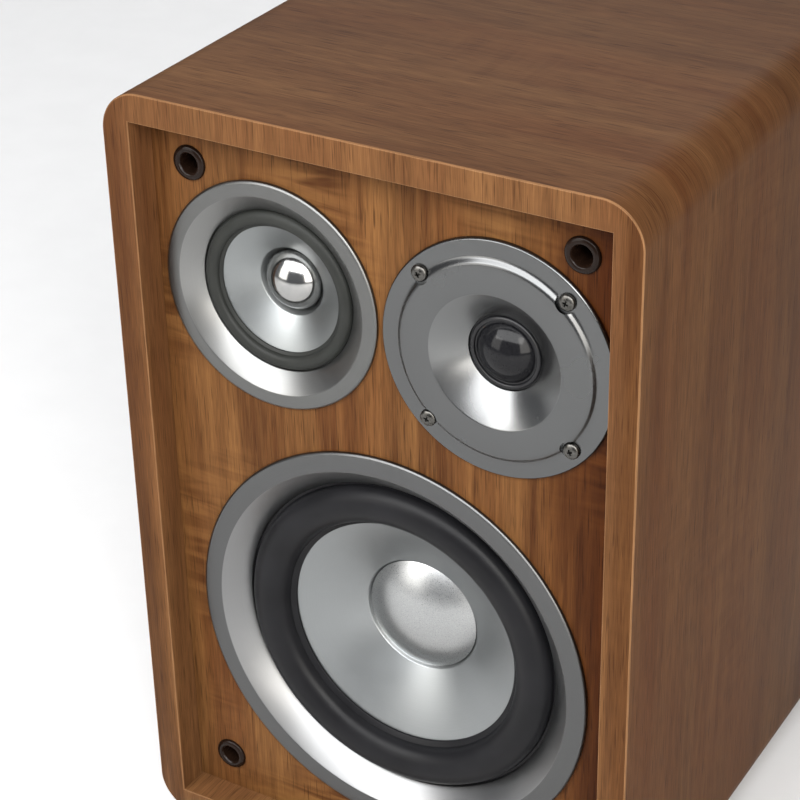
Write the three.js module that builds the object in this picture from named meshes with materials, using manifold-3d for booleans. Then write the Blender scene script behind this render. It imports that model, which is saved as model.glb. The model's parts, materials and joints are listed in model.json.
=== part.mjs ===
// A three-way bookshelf loudspeaker: a veneered cabinet with a recessed front baffle, a woofer,
// a midrange driver and a dome tweeter, a rear port, binding posts and the crossover inside.
// Millimetres. +Z is up, the front faces -Y, and the origin is on the floor under the centre.
import * as THREE from 'three';
import { mergeVertices } from 'three/addons/utils/BufferGeometryUtils.js';
import Module from 'manifold-3d';

const wasm = await Module();
wasm.setup();

// Cabinet
const CABINET_WIDTH = 225;
const CABINET_HEIGHT = 342.5;
const CABINET_DEPTH = 250;
const WALL = 12;
const CORNER_RADIUS = 17.2;
const FRONT_RECESS = 13.8;
const REAR_RECESS = 3;
const BAFFLE_THICKNESS = 18;
const BACK_THICKNESS = 12;
const FOOT_HEIGHT = 2;
const FOOT_RADIUS = 7;
const FOOT_INSET = 24;

// Working gaps between separate pieces
const GLUE_GAP = 0.3;
const SEAT_GAP = 0.1;

// Drivers, as places on the baffle (height is above the cabinet's underside)
const WOOFER = { x: 0, height: 116, sides: 32 };
const MIDRANGE = { x: -48.7, height: 264, sides: 24 };
const TWEETER = { x: 49.8, height: 262.5, sides: 28 };
const FINE_SIDES = 16;
const SMALL_SIDES = 12;
const BASKET_SIDES = 20;
const PORT_SIDES = 20;
const DOME_STEPS = 4;

// Driver openings in the baffle
const WOOFER_HOLE = 83;
const WOOFER_REBATE = 88.2;
const MIDRANGE_HOLE = 43.2;
const MIDRANGE_REBATE = 46.8;
const REBATE_DEPTH = 2;
const TWEETER_HOLE = 36.5;

// Grille sockets in the baffle's corners
const SOCKET_X = 83;
const SOCKET_FROM_TOP = 30;
const SOCKET_FROM_BOTTOM = 29.6;
const SOCKET_BARREL = 5.1;
const SOCKET_DEPTH = 12;

// Tweeter screws, four on a circle that is turned a little from the diagonals
const SCREW_CIRCLE = 42.4;
const SCREW_TURN = 2.7;
const SCREW_HEAD = 3.4;
const SCREW_CROWN = 2.1;
const SCREW_SHANK = 1.9;
const SCREW_LENGTH = 14;

// Rear fittings
const PORT_HEIGHT = 245;
const PORT_BORE = 25;
const PORT_HOLE = 32.5;
const PORT_INNER_END = 20;
const CUP = { height: 95, width: 76, tall: 50, depth: 24, wall: 1.7, rim: 10, radius: 6 };
const POST_X = 15;
const STUD_RADIUS = 3.2;
const CAP_RADIUS = 6.8;
const CAP_LENGTH = 14.7;

// Levels worked out from the sizes above
const FRONT = -CABINET_DEPTH / 2;
const REAR = CABINET_DEPTH / 2;
const BAFFLE_FACE = FRONT + FRONT_RECESS;
const BACK_FACE = REAR - REAR_RECESS;
const BASE = FOOT_HEIGHT;
const TOP = BASE + CABINET_HEIGHT;
const INNER_WIDTH = CABINET_WIDTH - 2 * WALL;
const INNER_HEIGHT = CABINET_HEIGHT - 2 * WALL;
const MIDDLE = BASE + CABINET_HEIGHT / 2;
const CUP_RIM_FACE = BACK_FACE + 2.2;
const CUP_FLOOR = CUP_RIM_FACE - CUP.depth;

const speaker = new THREE.Group();

function finish(color, roughness, metalness = 0) {
  return new THREE.MeshStandardMaterial({ color, roughness, metalness });
}

const veneer = finish(0x7a5638, 0.45);
const baffleVeneer = finish(0x8a5a34, 0.5);
const satinSilver = finish(0x9a9c9b, 0.35, 0.8);
const coneAluminium = finish(0xb4b8b8, 0.4, 0.9);
const chrome = finish(0xd8dade, 0.05, 1);
const blackRubber = finish(0x28282b, 0.5);
const greyFoam = finish(0x5f625c, 0.8);
const blackPlastic = finish(0x1d1c1c, 0.45);
const brownPlastic = finish(0x2a1c14, 0.4);
const glossBlack = finish(0x101215, 0.08);
const blackSteel = finish(0x202224, 0.5, 0.6);
const zincSteel = finish(0x9d9f9f, 0.4, 0.9);
const ferrite = finish(0x2c2b2b, 0.8);
const copper = finish(0xa8623a, 0.35, 0.9);
const nickel = finish(0x8f8c86, 0.25, 1);
const gold = finish(0xc9a24a, 0.25, 1);
const redPlastic = finish(0x9c1c1c, 0.35);
const spiderCloth = finish(0xb98d3f, 0.9);
const boardGreen = finish(0x2f5a3a, 0.5);
const filmYellow = finish(0xc9a83a, 0.45);
const ceramic = finish(0xe5e2da, 0.7);
const wadding = finish(0xe8e6e0, 1);

function place(name, geometry, material, x = 0, y = 0, z = 0) {
  const mesh = new THREE.Mesh(geometry, material);
  mesh.name = name;
  mesh.position.set(x, y, z);
  speaker.add(mesh);
}

// A turned piece about Y. The profile is [radius, along] pairs: it closes on itself, or starts
// and ends on the axis.
function turned(profile, sides) {
  const points = profile.map(([radius, along]) => new THREE.Vector2(radius, along));
  if (THREE.ShapeUtils.area(points) < 0) points.reverse();
  const onAxis = points[0].x === 0 && points[points.length - 1].x === 0;
  if (!onAxis) points.push(points[0].clone());
  return new THREE.LatheGeometry(points, sides);
}

// The same piece standing up, about Z.
function turnedUpright(profile, sides) {
  return turned(profile, sides).rotateX(Math.PI / 2);
}

// An outline in X and Z pushed along Y from `from` to `to`.
function pushed(shape, from, to, curveSegments = 3) {
  const settings = { depth: to - from, bevelEnabled: false, curveSegments };
  return new THREE.ExtrudeGeometry(shape, settings).rotateX(Math.PI / 2).translate(0, to, 0);
}

function block(sizeX, sizeY, sizeZ, x = 0, y = 0, z = 0) {
  return new THREE.BoxGeometry(sizeX, sizeY, sizeZ).translate(x, y, z);
}

function drill(radius, from, to, x = 0, z = 0, sides = SMALL_SIDES) {
  return turned([[0, from], [radius, from], [radius, to], [0, to]], sides).translate(x, 0, z);
}

function roundedRectangle(width, height, radius) {
  const outline = new THREE.Shape();
  const [x, y] = [width / 2, height / 2];
  outline.moveTo(-x + radius, -y);
  outline.lineTo(x - radius, -y);
  outline.absarc(x - radius, -y + radius, radius, -Math.PI / 2, 0);
  outline.lineTo(x, y - radius);
  outline.absarc(x - radius, y - radius, radius, 0, Math.PI / 2);
  outline.lineTo(-x + radius, y);
  outline.absarc(-x + radius, y - radius, radius, Math.PI / 2, Math.PI);
  outline.lineTo(-x, -y + radius);
  outline.absarc(-x + radius, -y + radius, radius, Math.PI, 1.5 * Math.PI);
  return outline;
}

function rectangle(width, height, Kind = THREE.Shape) {
  const [x, y] = [width / 2, height / 2];
  return new Kind([[-x, -y], [x, -y], [x, y], [-x, y]].map(([a, b]) => new THREE.Vector2(a, b)));
}

function solidOf(geometry) {
  const bare = geometry.clone();
  bare.deleteAttribute('normal');
  bare.deleteAttribute('uv');
  const merged = mergeVertices(bare);
  const corners = [];
  for (let i = 0; i < merged.index.count; i += 3) {
    const [a, b, c] = [0, 1, 2].map((k) => merged.index.getX(i + k));
    if (a !== b && b !== c && c !== a) corners.push(a, b, c);
  }
  return new wasm.Manifold(new wasm.Mesh({
    numProp: 3,
    vertProperties: new Float32Array(merged.attributes.position.array),
    triVerts: new Uint32Array(corners),
  }));
}

function geometryOf(solid) {
  const mesh = solid.getMesh();
  const geometry = new THREE.BufferGeometry();
  geometry.setAttribute('position', new THREE.BufferAttribute(mesh.vertProperties, 3));
  geometry.setIndex(new THREE.BufferAttribute(mesh.triVerts, 1));
  geometry.computeVertexNormals();
  return geometry;
}

function cut(geometry, tools) {
  return geometryOf(tools.reduce((solid, tool) => solid.subtract(solidOf(tool)), solidOf(geometry)));
}

function join(geometries) {
  const [first, ...others] = geometries.map(solidOf);
  return geometryOf(others.reduce((solid, other) => solid.add(other), first));
}

// Points along a half roll between two radii, bulging forward by `crown`.
function roll(outer, outerAlong, inner, innerAlong, crown, steps) {
  return Array.from({ length: steps + 1 }, (_, i) => {
    const turn = (Math.PI * i) / steps;
    const radius = (outer + inner) / 2 + ((outer - inner) / 2) * Math.cos(turn);
    const chord = THREE.MathUtils.mapLinear(radius, outer, inner, outerAlong, innerAlong);
    return [radius, chord - crown * Math.sin(turn)];
  });
}

// Points on a dome from its rim to the axis; the rim lies at `along`, the crown is nearer the front.
function dome(rim, along, crown, steps) {
  const ball = (rim * rim + crown * crown) / (2 * crown);
  const spread = Math.asin(Math.min(1, rim / ball));
  return Array.from({ length: steps + 1 }, (_, i) => {
    const turn = spread * (1 - i / steps);
    const radius = i === steps ? 0 : ball * Math.sin(turn);
    return [radius, along - crown + ball * (1 - Math.cos(turn))];
  });
}

// --- Cabinet -------------------------------------------------------------------------------

// Four veneered walls with rounded outer corners, open at the front and the back.
function cabinetWrap() {
  const outline = roundedRectangle(CABINET_WIDTH, CABINET_HEIGHT, CORNER_RADIUS);
  outline.holes.push(rectangle(INNER_WIDTH, INNER_HEIGHT, THREE.Path));
  return pushed(outline, FRONT, REAR, 8).translate(0, 0, MIDDLE);
}

function socketPlaces() {
  const high = TOP - SOCKET_FROM_TOP;
  const low = BASE + SOCKET_FROM_BOTTOM;
  return [
    ['top_left', -SOCKET_X, high],
    ['top_right', SOCKET_X, high],
    ['bottom_left', -SOCKET_X, low],
    ['bottom_right', SOCKET_X, low],
  ];
}

function screwPlaces() {
  return [0, 1, 2, 3].map((quarter) => {
    const turn = THREE.MathUtils.degToRad(45 + 90 * quarter + SCREW_TURN);
    return [SCREW_CIRCLE * Math.cos(turn), SCREW_CIRCLE * Math.sin(turn)];
  });
}

// The baffle, set back inside the walls, with the driver openings and their rebates.
function frontBaffle() {
  const outline = rectangle(INNER_WIDTH - 2 * GLUE_GAP, INNER_HEIGHT - 2 * GLUE_GAP);
  const panel = pushed(outline, 0, BAFFLE_THICKNESS);
  const through = [-1, BAFFLE_THICKNESS + 1];
  const level = (driver) => driver.height - CABINET_HEIGHT / 2;
  const tools = [
    drill(WOOFER_HOLE, ...through, WOOFER.x, level(WOOFER), WOOFER.sides),
    drill(WOOFER_REBATE, -1, REBATE_DEPTH, WOOFER.x, level(WOOFER), WOOFER.sides),
    drill(MIDRANGE_HOLE, ...through, MIDRANGE.x, level(MIDRANGE), MIDRANGE.sides),
    drill(MIDRANGE_REBATE, -1, REBATE_DEPTH, MIDRANGE.x, level(MIDRANGE), MIDRANGE.sides),
    drill(TWEETER_HOLE, ...through, TWEETER.x, level(TWEETER), TWEETER.sides),
  ];
  for (const [, x, z] of socketPlaces()) {
    tools.push(drill(SOCKET_BARREL + GLUE_GAP, -1, SOCKET_DEPTH + 1, x, z - MIDDLE));
  }
  for (const [x, z] of screwPlaces()) {
    tools.push(drill(SCREW_SHANK + GLUE_GAP, ...through, TWEETER.x + x, level(TWEETER) + z));
  }
  return cut(panel, tools).translate(0, BAFFLE_FACE, MIDDLE);
}

// The back, set in flush with the walls but for a small recess, holed for the port and the cup.
function backPanel() {
  const outline = rectangle(INNER_WIDTH - 2 * GLUE_GAP, INNER_HEIGHT - 2 * GLUE_GAP);
  const panel = pushed(outline, BACK_FACE - BACK_THICKNESS, BACK_FACE).translate(0, 0, MIDDLE);
  const through = [BACK_FACE - BACK_THICKNESS - 1, BACK_FACE + 1];
  const cupBody = roundedRectangle(
    CUP.width + 2 * CUP.wall + 2 * GLUE_GAP, CUP.tall + 2 * CUP.wall + 2 * GLUE_GAP, CUP.radius,
  );
  return cut(panel, [
    drill(PORT_HOLE, ...through, 0, BASE + PORT_HEIGHT, PORT_SIDES),
    pushed(cupBody, ...through).translate(0, 0, BASE + CUP.height),
  ]);
}

// A moulded reflex port: a flared mouth with a flange on the back panel, and a straight tube.
function portTube() {
  const steps = 4;
  const arc = (radius, spread, along, rise) => Array.from({ length: steps + 1 }, (_, i) => {
    const turn = (Math.PI / 2) * (i / steps);
    return [radius + spread * (1 - Math.cos(turn)), along + rise * Math.sin(turn)];
  });
  const mouth = arc(PORT_BORE, 9, BACK_FACE - 8.6, 11);
  const outside = arc(PORT_BORE + 2, 5, BACK_FACE - 10, 10.1).reverse();
  return turned([
    [PORT_BORE, PORT_INNER_END],
    ...mouth,
    [PORT_BORE + 11, BACK_FACE + 1.6],
    [PORT_BORE + 11, BACK_FACE + SEAT_GAP],
    ...outside,
    [PORT_BORE + 2, PORT_INNER_END],
  ], PORT_SIDES);
}

function foot() {
  const top = FOOT_HEIGHT - SEAT_GAP;
  return turnedUpright(
    [[0, 0], [FOOT_RADIUS - 0.6, 0], [FOOT_RADIUS, 1], [FOOT_RADIUS, top], [0, top]], SMALL_SIDES,
  );
}

// A push-in plastic socket for one of the grille's pegs: a rounded flange and a blind barrel.
function grilleSocket() {
  return turned([
    [0, SOCKET_DEPTH],
    [SOCKET_BARREL, SOCKET_DEPTH],
    [SOCKET_BARREL, -SEAT_GAP],
    [7.25, -SEAT_GAP],
    [6.9, -1.1],
    [5.9, -1.7],
    [4.7, -1.6],
    [3.9, -0.9],
    [3.75, 10.5],
    [0, 10.5],
  ], SMALL_SIDES);
}

place('cabinet_wrap', cabinetWrap(), veneer);
place('front_baffle', frontBaffle(), baffleVeneer);
place('back_panel', backPanel(), blackPlastic);
place('port_tube', portTube(), blackPlastic, 0, 0, BASE + PORT_HEIGHT);
for (const [row, y] of [['front', FRONT + FOOT_INSET], ['rear', REAR - FOOT_INSET]]) {
  place(`foot_${row}_left`, foot(), blackRubber, FOOT_INSET - CABINET_WIDTH / 2, y);
  place(`foot_${row}_right`, foot(), blackRubber, CABINET_WIDTH / 2 - FOOT_INSET, y);
}
for (const [corner, x, z] of socketPlaces()) {
  place(`grille_socket_${corner}`, grilleSocket(), brownPlastic, x, BAFFLE_FACE, z);
}

// --- Cone drivers ----------------------------------------------------------------------------
// Every profile below is [radius, depth]: depth 0 is the baffle's face, and negative is in front.

// A bayonet trim ring: flat band, bevel down to the surround, thin lip.
function trimRing(size, sides) {
  const { outer, bandInner, lip, lipDepth, proud, sheet } = size;
  return turned([
    [outer, -SEAT_GAP],
    [outer, 0.7 - proud],
    [outer - 0.8, -proud],
    [bandInner, -proud],
    [lip, lipDepth],
    [lip, lipDepth + 0.7],
    [lip + 1.2, lipDepth + 0.7],
    [bandInner + 0.5 * sheet, sheet - proud],
    [outer - sheet, sheet - proud],
    [outer - sheet, -SEAT_GAP],
  ], sides);
}

// A pressed steel basket turned from its section, then pierced with windows between the arms.
function basket(section, window, sides) {
  const tools = Array.from({ length: window.count }, (_, i) => {
    const length = window.outer - window.inner;
    const middle = (window.outer + window.inner) / 2;
    const tall = window.to - window.from;
    const tool = block(length, tall, window.width, middle, (window.from + window.to) / 2, 0);
    return tool.rotateY((2 * Math.PI * (i + 0.5)) / window.count);
  });
  return cut(turned(section, sides), tools);
}

// A half-roll surround with a flat lip at each edge.
function surround(size, sides) {
  const { outerLip, outer, inner, innerLip, outerDepth, innerDepth, crown, sheet, steps } = size;
  return turned([
    [outerLip, outerDepth + sheet],
    [outerLip, outerDepth],
    ...roll(outer, outerDepth, inner, innerDepth, crown, steps),
    [innerLip, innerDepth + size.coneSlope * (inner - innerLip)],
    [innerLip, innerDepth + size.coneSlope * (inner - innerLip) + sheet],
    ...roll(outer - sheet, outerDepth + sheet, inner + sheet, innerDepth + sheet, crown, steps).reverse(),
  ], sides);
}

// A spun cone with a neck that grips the voice coil, and a shallow well round the dust cap.
function cone(size, sides) {
  const { rim, rimDepth, step, stepDepth, wellRadius, wellDepth, neck, neckEnd, sheet } = size;
  return turned([
    [rim, rimDepth],
    [step, stepDepth],
    [wellRadius, wellDepth],
    [neck, wellDepth + 0.5 * (wellRadius - neck)],
    [neck, neckEnd],
    [neck + sheet, neckEnd],
    [neck + sheet, wellDepth + 0.5 * (wellRadius - neck) + sheet],
    [wellRadius + sheet, wellDepth + sheet],
    [step + 0.3 * sheet, stepDepth + 1.2 * sheet],
    [rim, rimDepth + 1.2 * sheet],
  ], sides);
}

function dustCap(rim, along, crown, sheet, sides) {
  const outside = dome(rim, along, crown, DOME_STEPS);
  const inside = dome(rim - sheet, along, crown - sheet, DOME_STEPS).reverse();
  return turned([...inside, ...outside], sides);
}

// Coil former with the winding on its far end.
function voiceCoil(former, winding, sides) {
  return turned([
    [former.inner, former.from],
    [former.outer, former.from],
    [former.outer, winding.from],
    [winding.outer, winding.from],
    [winding.outer, former.to],
    [former.inner, former.to],
  ], sides);
}

// A corrugated cloth disc that centres the coil.
function spider(inner, outer, along, waves, height, sides) {
  const flat = 2;
  const sheet = 0.6;
  const steps = 2 * waves;
  const wave = Array.from({ length: steps + 1 }, (_, i) => {
    const radius = inner + flat + ((outer - inner - 4 * flat) * i) / steps;
    const lift = i % 2 ? (i % 4 === 1 ? height : -height) : 0;
    return [radius, along - lift];
  });
  const face = [[inner, along], ...wave, [outer, along]];
  const behind = face.map(([radius, depth]) => [radius, depth + sheet]).reverse();
  return turned([...face, ...behind], sides);
}

function ring(inner, outer, from, to, sides) {
  return turned([[inner, from], [outer, from], [outer, to], [inner, to]], sides);
}

// A pole piece and back plate in one, with a vent through the pole.
function yoke(size, sides) {
  const { pole, vent, plate, from, plateFrom, to } = size;
  return turned([
    [vent, from],
    [pole, from],
    [pole, plateFrom],
    [plate, plateFrom],
    [plate, to],
    [vent, to],
  ], sides);
}

const onBaffle = (driver) => [driver.x, BAFFLE_FACE, BASE + driver.height];

// --- Woofer ----------------------------------------------------------------------------------

const wooferSection = [
  [87.5, 0.2], [82, 0.2], [73.2, 9.3], [69.4, 9.3], [67, 13], [44, 46.5], [36.5, 46.5],
  [34.5, 56.6], [27, 56.6], [27, 58.1], [35.8, 58.1], [37.8, 48], [45, 48], [68.5, 13.9],
  [70.3, 10.8], [73.9, 10.8], [82.6, 1.7], [87.5, 1.7],
];
const wooferWindow = { count: 4, inner: 38, outer: 75, from: 17, to: 42, width: 38 };

place('woofer_trim_ring', trimRing(
  { outer: 89.4, bandInner: 81, lip: 71.5, lipDepth: 7.5, proud: 2, sheet: 1.4 }, WOOFER.sides,
), satinSilver, ...onBaffle(WOOFER));
place('woofer_basket', basket(wooferSection, wooferWindow, BASKET_SIDES), blackSteel, ...onBaffle(WOOFER));
place('woofer_surround', surround({
  outerLip: 72, outer: 70, inner: 53.6, innerLip: 51.5, outerDepth: 8.5, innerDepth: 9.2,
  crown: 7, sheet: 0.7, coneSlope: 0.57, steps: 4,
}, WOOFER.sides), blackRubber, ...onBaffle(WOOFER));
place('woofer_cone', cone({
  rim: 53.6, rimDepth: 10.5, step: 26, stepDepth: 26, wellRadius: 25.4, wellDepth: 27.3,
  neck: 18.4, neckEnd: 35, sheet: 0.8,
}, WOOFER.sides), coneAluminium, ...onBaffle(WOOFER));
place('woofer_dust_cap', dustCap(25, 27, 8, 0.8, WOOFER.sides), coneAluminium, ...onBaffle(WOOFER));
place('woofer_voice_coil', voiceCoil(
  { inner: 17.5, outer: 18.1, from: 32, to: 69.3 }, { outer: 18.9, from: 53.3 }, FINE_SIDES,
), copper, ...onBaffle(WOOFER));
place('woofer_spider', spider(18.5, 43, 45.6, 3, 1.6, FINE_SIDES), spiderCloth, ...onBaffle(WOOFER));
place('woofer_top_plate', ring(19.8, 45, 58.3, 64.3, FINE_SIDES), zincSteel, ...onBaffle(WOOFER));
place('woofer_magnet', ring(24, 45, 64.4, 82.4, FINE_SIDES), ferrite, ...onBaffle(WOOFER));
place('woofer_yoke', yoke(
  { pole: 16.8, vent: 5, plate: 42, from: 58.3, plateFrom: 82.5, to: 88.5 }, FINE_SIDES,
), zincSteel, ...onBaffle(WOOFER));

// --- Midrange --------------------------------------------------------------------------------

const midrangeSection = [
  [46.2, 0.2], [43.2, 0.2], [36, 5.7], [32.4, 5.7], [31, 8], [21.5, 26], [16.5, 26],
  [16, 32.8], [14.5, 32.8], [14.5, 34], [17.2, 34], [17.7, 27.2], [22.4, 27.2], [32.1, 8.7],
  [33, 6.9], [36.4, 6.9], [43.7, 1.4], [46.2, 1.4],
];
const midrangeWindow = { count: 4, inner: 17, outer: 36, from: 11, to: 22, width: 18 };

// A closed plastic cup that keeps the woofer's air away from the midrange cone.
function chamber() {
  const [flange, outside, sheet, end] = [51, 48, 2.5, 66];
  const front = BAFFLE_THICKNESS + SEAT_GAP;
  return turned([
    [0, end], [outside - 6, end], [outside, end - 6], [outside, front + sheet], [flange, front + sheet],
    [flange, front], [outside - sheet, front], [outside - sheet, end - 7], [outside - 8, end - sheet],
    [0, end - sheet],
  ], BASKET_SIDES);
}

place('midrange_trim_ring', trimRing(
  { outer: 47.7, bandInner: 41.7, lip: 33.8, lipDepth: 4.3, proud: 2, sheet: 1.2 }, MIDRANGE.sides,
), satinSilver, ...onBaffle(MIDRANGE));
place('midrange_basket', basket(midrangeSection, midrangeWindow, BASKET_SIDES), blackSteel,
  ...onBaffle(MIDRANGE));
place('midrange_surround', surround({
  outerLip: 35.2, outer: 33.2, inner: 27.6, innerLip: 26.5, outerDepth: 5.1, innerDepth: 4.9,
  crown: 2.5, sheet: 0.5, coneSlope: 0.62, steps: 4,
}, MIDRANGE.sides), greyFoam, ...onBaffle(MIDRANGE));
place('midrange_cone', cone({
  rim: 27.6, rimDepth: 5.9, step: 14.4, stepDepth: 14, wellRadius: 12.6, wellDepth: 17.4,
  neck: 11.5, neckEnd: 22.5, sheet: 0.6,
}, MIDRANGE.sides), coneAluminium, ...onBaffle(MIDRANGE));
place('midrange_dust_cap', dustCap(12.3, 17.1, 9.3, 0.6, MIDRANGE.sides), chrome, ...onBaffle(MIDRANGE));
place('midrange_voice_coil', voiceCoil(
  { inner: 10.6, outer: 11.2, from: 20, to: 44 }, { outer: 11.8, from: 34 }, FINE_SIDES,
), copper, ...onBaffle(MIDRANGE));
place('midrange_spider', spider(11.6, 21, 25.2, 2, 1, FINE_SIDES), spiderCloth, ...onBaffle(MIDRANGE));
place('midrange_top_plate', ring(12.6, 30, 34.2, 38.2, FINE_SIDES), zincSteel, ...onBaffle(MIDRANGE));
place('midrange_magnet', ring(16, 30, 38.3, 50.3, FINE_SIDES), ferrite, ...onBaffle(MIDRANGE));
place('midrange_yoke', yoke(
  { pole: 10.1, vent: 3, plate: 28, from: 34.2, plateFrom: 50.4, to: 54.4 }, FINE_SIDES,
), zincSteel, ...onBaffle(MIDRANGE));
place('midrange_chamber', chamber(), blackPlastic, ...onBaffle(MIDRANGE));

// --- Tweeter ---------------------------------------------------------------------------------

// The faceplate: an outer flange, a raised middle with a bevelled step, and the horn mouth.
function tweeterFaceplate() {
  const plate = turned([
    [48.4, -SEAT_GAP], [48.4, -1.4], [47.8, -2], [41.4, -2], [39.2, -3.9], [27.5, -3.9], [15.2, 4.9],
    [15.2, 5.3], [34, 5.3], [34, -SEAT_GAP],
  ], TWEETER.sides);
  const tools = screwPlaces().flatMap(([x, z]) => [
    drill(SCREW_SHANK + GLUE_GAP, -3, 1, x, z),
    drill(SCREW_HEAD + 0.9, -5, -2, x, z, 20),
  ]);
  return cut(plate, tools);
}

// A pan-head screw with a cross recess.
function tweeterScrew() {
  const underHead = -2 - SEAT_GAP;
  const body = turned([
    [0, SCREW_LENGTH], [SCREW_SHANK, SCREW_LENGTH - 2], [SCREW_SHANK, underHead], [SCREW_HEAD, underHead],
    [SCREW_HEAD, underHead - 0.9], [SCREW_HEAD - 1.1, underHead - 1.8],
    [0, underHead - SCREW_CROWN],
  ], SMALL_SIDES);
  const slots = [0, Math.PI / 2].map((turn) => (
    block(3.8, 2.4, 0.9, 0, underHead - SCREW_CROWN, 0).rotateY(turn)
  ));
  return cut(body, slots);
}

function tweeterDome() {
  const skirt = [[11.7, 5.8], [12.1, 5.8]];
  const inside = dome(11.7, 5.3, 5.8, DOME_STEPS).reverse();
  return turned([...inside, ...skirt, ...dome(12.1, 5.3, 6.2, DOME_STEPS)], FINE_SIDES);
}

place('tweeter_faceplate', tweeterFaceplate(), satinSilver, ...onBaffle(TWEETER));
place('tweeter_dome', tweeterDome(), glossBlack, ...onBaffle(TWEETER));
place('tweeter_surround', surround({
  outerLip: 19, outer: 14.9, inner: 12.7, innerLip: 12.2, outerDepth: 5.5, innerDepth: 5.3,
  crown: 1, sheet: 0.4, coneSlope: 0, steps: 4,
}, FINE_SIDES), blackRubber, ...onBaffle(TWEETER));
place('tweeter_voice_coil', voiceCoil(
  { inner: 12.1, outer: 12.4, from: 6, to: 12 }, { outer: 12.8, from: 6.5 }, FINE_SIDES,
), copper, ...onBaffle(TWEETER));
place('tweeter_top_plate', ring(13.5, 34, 6.2, 9.2, FINE_SIDES), zincSteel, ...onBaffle(TWEETER));
place('tweeter_magnet', ring(16.5, 34, 9.3, 20.3, FINE_SIDES), ferrite, ...onBaffle(TWEETER));
place('tweeter_yoke', yoke(
  { pole: 11.5, vent: 3, plate: 32, from: 7, plateFrom: 20.4, to: 24.4 }, FINE_SIDES,
), zincSteel, ...onBaffle(TWEETER));
screwPlaces().forEach(([x, z], i) => {
  const [atX, atY, atZ] = onBaffle(TWEETER);
  place(`tweeter_screw_${i + 1}`, tweeterScrew(), nickel, atX + x, atY, atZ + z);
});

// --- Terminals -------------------------------------------------------------------------------

// A moulded cup let into the back, so that the posts stay inside the cabinet's depth.
function terminalCup() {
  const rim = roundedRectangle(CUP.width + 2 * CUP.rim, CUP.tall + 2 * CUP.rim, CUP.radius + 4);
  const body = roundedRectangle(CUP.width + 2 * CUP.wall, CUP.tall + 2 * CUP.wall, CUP.radius);
  const pocket = roundedRectangle(CUP.width, CUP.tall, CUP.radius - CUP.wall);
  const outside = join([
    pushed(rim, BACK_FACE + SEAT_GAP, CUP_RIM_FACE),
    pushed(body, CUP_FLOOR - 2.5, CUP_RIM_FACE - 0.5),
  ]);
  return cut(outside, [
    pushed(pocket, CUP_FLOOR, CUP_RIM_FACE + 1),
    ...[-POST_X, POST_X].map((x) => drill(STUD_RADIUS + GLUE_GAP, CUP_FLOOR - 4, CUP_FLOOR + 1, x)),
  ]);
}

// The threaded stud: nut and tag inside, a collar on the cup's floor, a 4 mm plug bore in its end.
function postStud() {
  return turned([
    [0, -12], [STUD_RADIUS, -12], [STUD_RADIUS, -6.5], [5.2, -6.5], [5.2, -2.8], [STUD_RADIUS, -2.8],
    [STUD_RADIUS, 0.2], [5.6, 0.2], [5.6, 2.3], [STUD_RADIUS, 2.3], [STUD_RADIUS, 17], [2.05, 17],
    [2.05, 4], [0, 4],
  ], SMALL_SIDES);
}

// The screw-down cap: a grooved grip with an open end for the plug.
function postCap() {
  const grooves = 12;
  const outline = new THREE.Shape(Array.from({ length: 4 * grooves }, (_, i) => {
    const turn = (2 * Math.PI * i) / (4 * grooves);
    const radius = i % 4 < 2 ? CAP_RADIUS : CAP_RADIUS - 0.6;
    return new THREE.Vector2(radius * Math.cos(turn), radius * Math.sin(turn));
  }));
  const bore = new THREE.Path().absarc(0, 0, STUD_RADIUS + GLUE_GAP, 0, 2 * Math.PI);
  outline.holes.push(bore);
  return pushed(outline, 0, CAP_LENGTH, 8);
}

place('terminal_cup', terminalCup(), blackPlastic, 0, 0, BASE + CUP.height);
for (const [pole, x, plastic] of [['red', -POST_X, redPlastic], ['black', POST_X, blackPlastic]]) {
  const at = [x, CUP_FLOOR, BASE + CUP.height];
  place(`${pole}_post_stud`, postStud(), gold, ...at);
  place(`${pole}_post_washer`, ring(STUD_RADIUS + GLUE_GAP, 6, 2.6, 3.9, SMALL_SIDES), gold, ...at);
  place(`${pole}_post_cap`, postCap().translate(0, 4.2, 0), plastic, ...at);
}

// --- Crossover and wadding -------------------------------------------------------------------

const BOARD = { width: 140, deep: 82, thick: 1.6, y: 64, standoff: 5 };
const BOARD_TOP = BASE + WALL + BOARD.standoff + BOARD.thick;

function crossoverBoard() {
  const board = block(BOARD.width, BOARD.deep, BOARD.thick, 0, 0, BOARD_TOP - BOARD.thick / 2);
  const pillars = [-1, 1].flatMap((sx) => [-1, 1].map((sy) => {
    const end = SEAT_GAP - BOARD.standoff;
    const pillar = turnedUpright([[0, end], [4, end], [4, 0.5], [0, 0.5]], SMALL_SIDES);
    const [x, y] = [sx * (BOARD.width / 2 - 7), sy * (BOARD.deep / 2 - 7)];
    return pillar.translate(x, y, BOARD_TOP - BOARD.thick);
  }));
  return join([board, ...pillars]);
}

// An air-core coil standing on the board: bobbin cheeks and winding turned as one piece.
function airCoil(core, winding, tall) {
  const cheek = winding + 2;
  return turnedUpright([
    [core, 0], [cheek, 0], [cheek, 2], [winding, 2], [winding, tall - 2], [cheek, tall - 2],
    [cheek, tall], [core, tall],
  ], FINE_SIDES);
}

function capacitor(radius, length) {
  const half = length / 2;
  return turned([
    [0, -half], [radius - 1, -half], [radius, 1 - half], [radius, half - 1], [radius - 1, half], [0, half],
  ], SMALL_SIDES).rotateZ(Math.PI / 2);
}

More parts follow.
